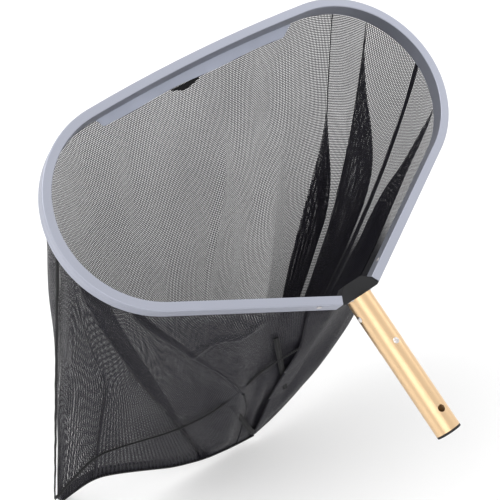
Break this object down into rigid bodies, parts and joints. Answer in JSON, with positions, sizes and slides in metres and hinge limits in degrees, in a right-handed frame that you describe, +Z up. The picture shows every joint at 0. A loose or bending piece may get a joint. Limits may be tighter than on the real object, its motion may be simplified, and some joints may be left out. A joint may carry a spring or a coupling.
{
  "type": "leaf skimmer net",
  "caption": "Deep-bag leaf rake: bent aluminium channel rim, fine mesh bag held in the channel and a short tube handle that slips into a pole.",
  "frame": {"origin": "centre of the handle's pole end, on the handle's axis", "axes": "+Z up against gravity; the handle points along +X and 32 degrees down, the rim lies in the same plane, and +Y is across the rim"},
  "size_m": [0.4185, 0.5496, 0.4615],
  "materials": {
    "rim_aluminium": "satin",
    "tang_aluminium": "satin",
    "black_plastic": "matte",
    "gold_anodised": "anodised satin",
    "rivet_aluminium": "polished",
    "cord": "matte",
    "binding": "woven",
    "mesh": "fine woven mesh",
    "grey_vinyl": "satin"
  },
  "bodies": {
    "root": {"rim_channel": "rim_aluminium", "left_tang": "tang_aluminium", "right_tang": "tang_aluminium", "yoke_insert": "black_plastic", "handle_tube": "gold_anodised", "end_plug": "black_plastic", "side_rivet": "rivet_aluminium", "top_rivet": "rivet_aluminium", "left_arm_rivet": "rivet_aluminium", "right_arm_rivet": "rivet_aluminium", "bead_cord": "cord", "mouth_hem": "binding", "front_panel": "mesh", "rear_panel": "mesh", "left_seam": "binding", "right_seam": "binding", "bottom_seam": "binding", "rear_seam": "binding", "corner_strap": "binding", "gather_strap": "binding", "wear_strip": "grey_vinyl", "strip_tab": "binding"}
  },
  "joints": []
}
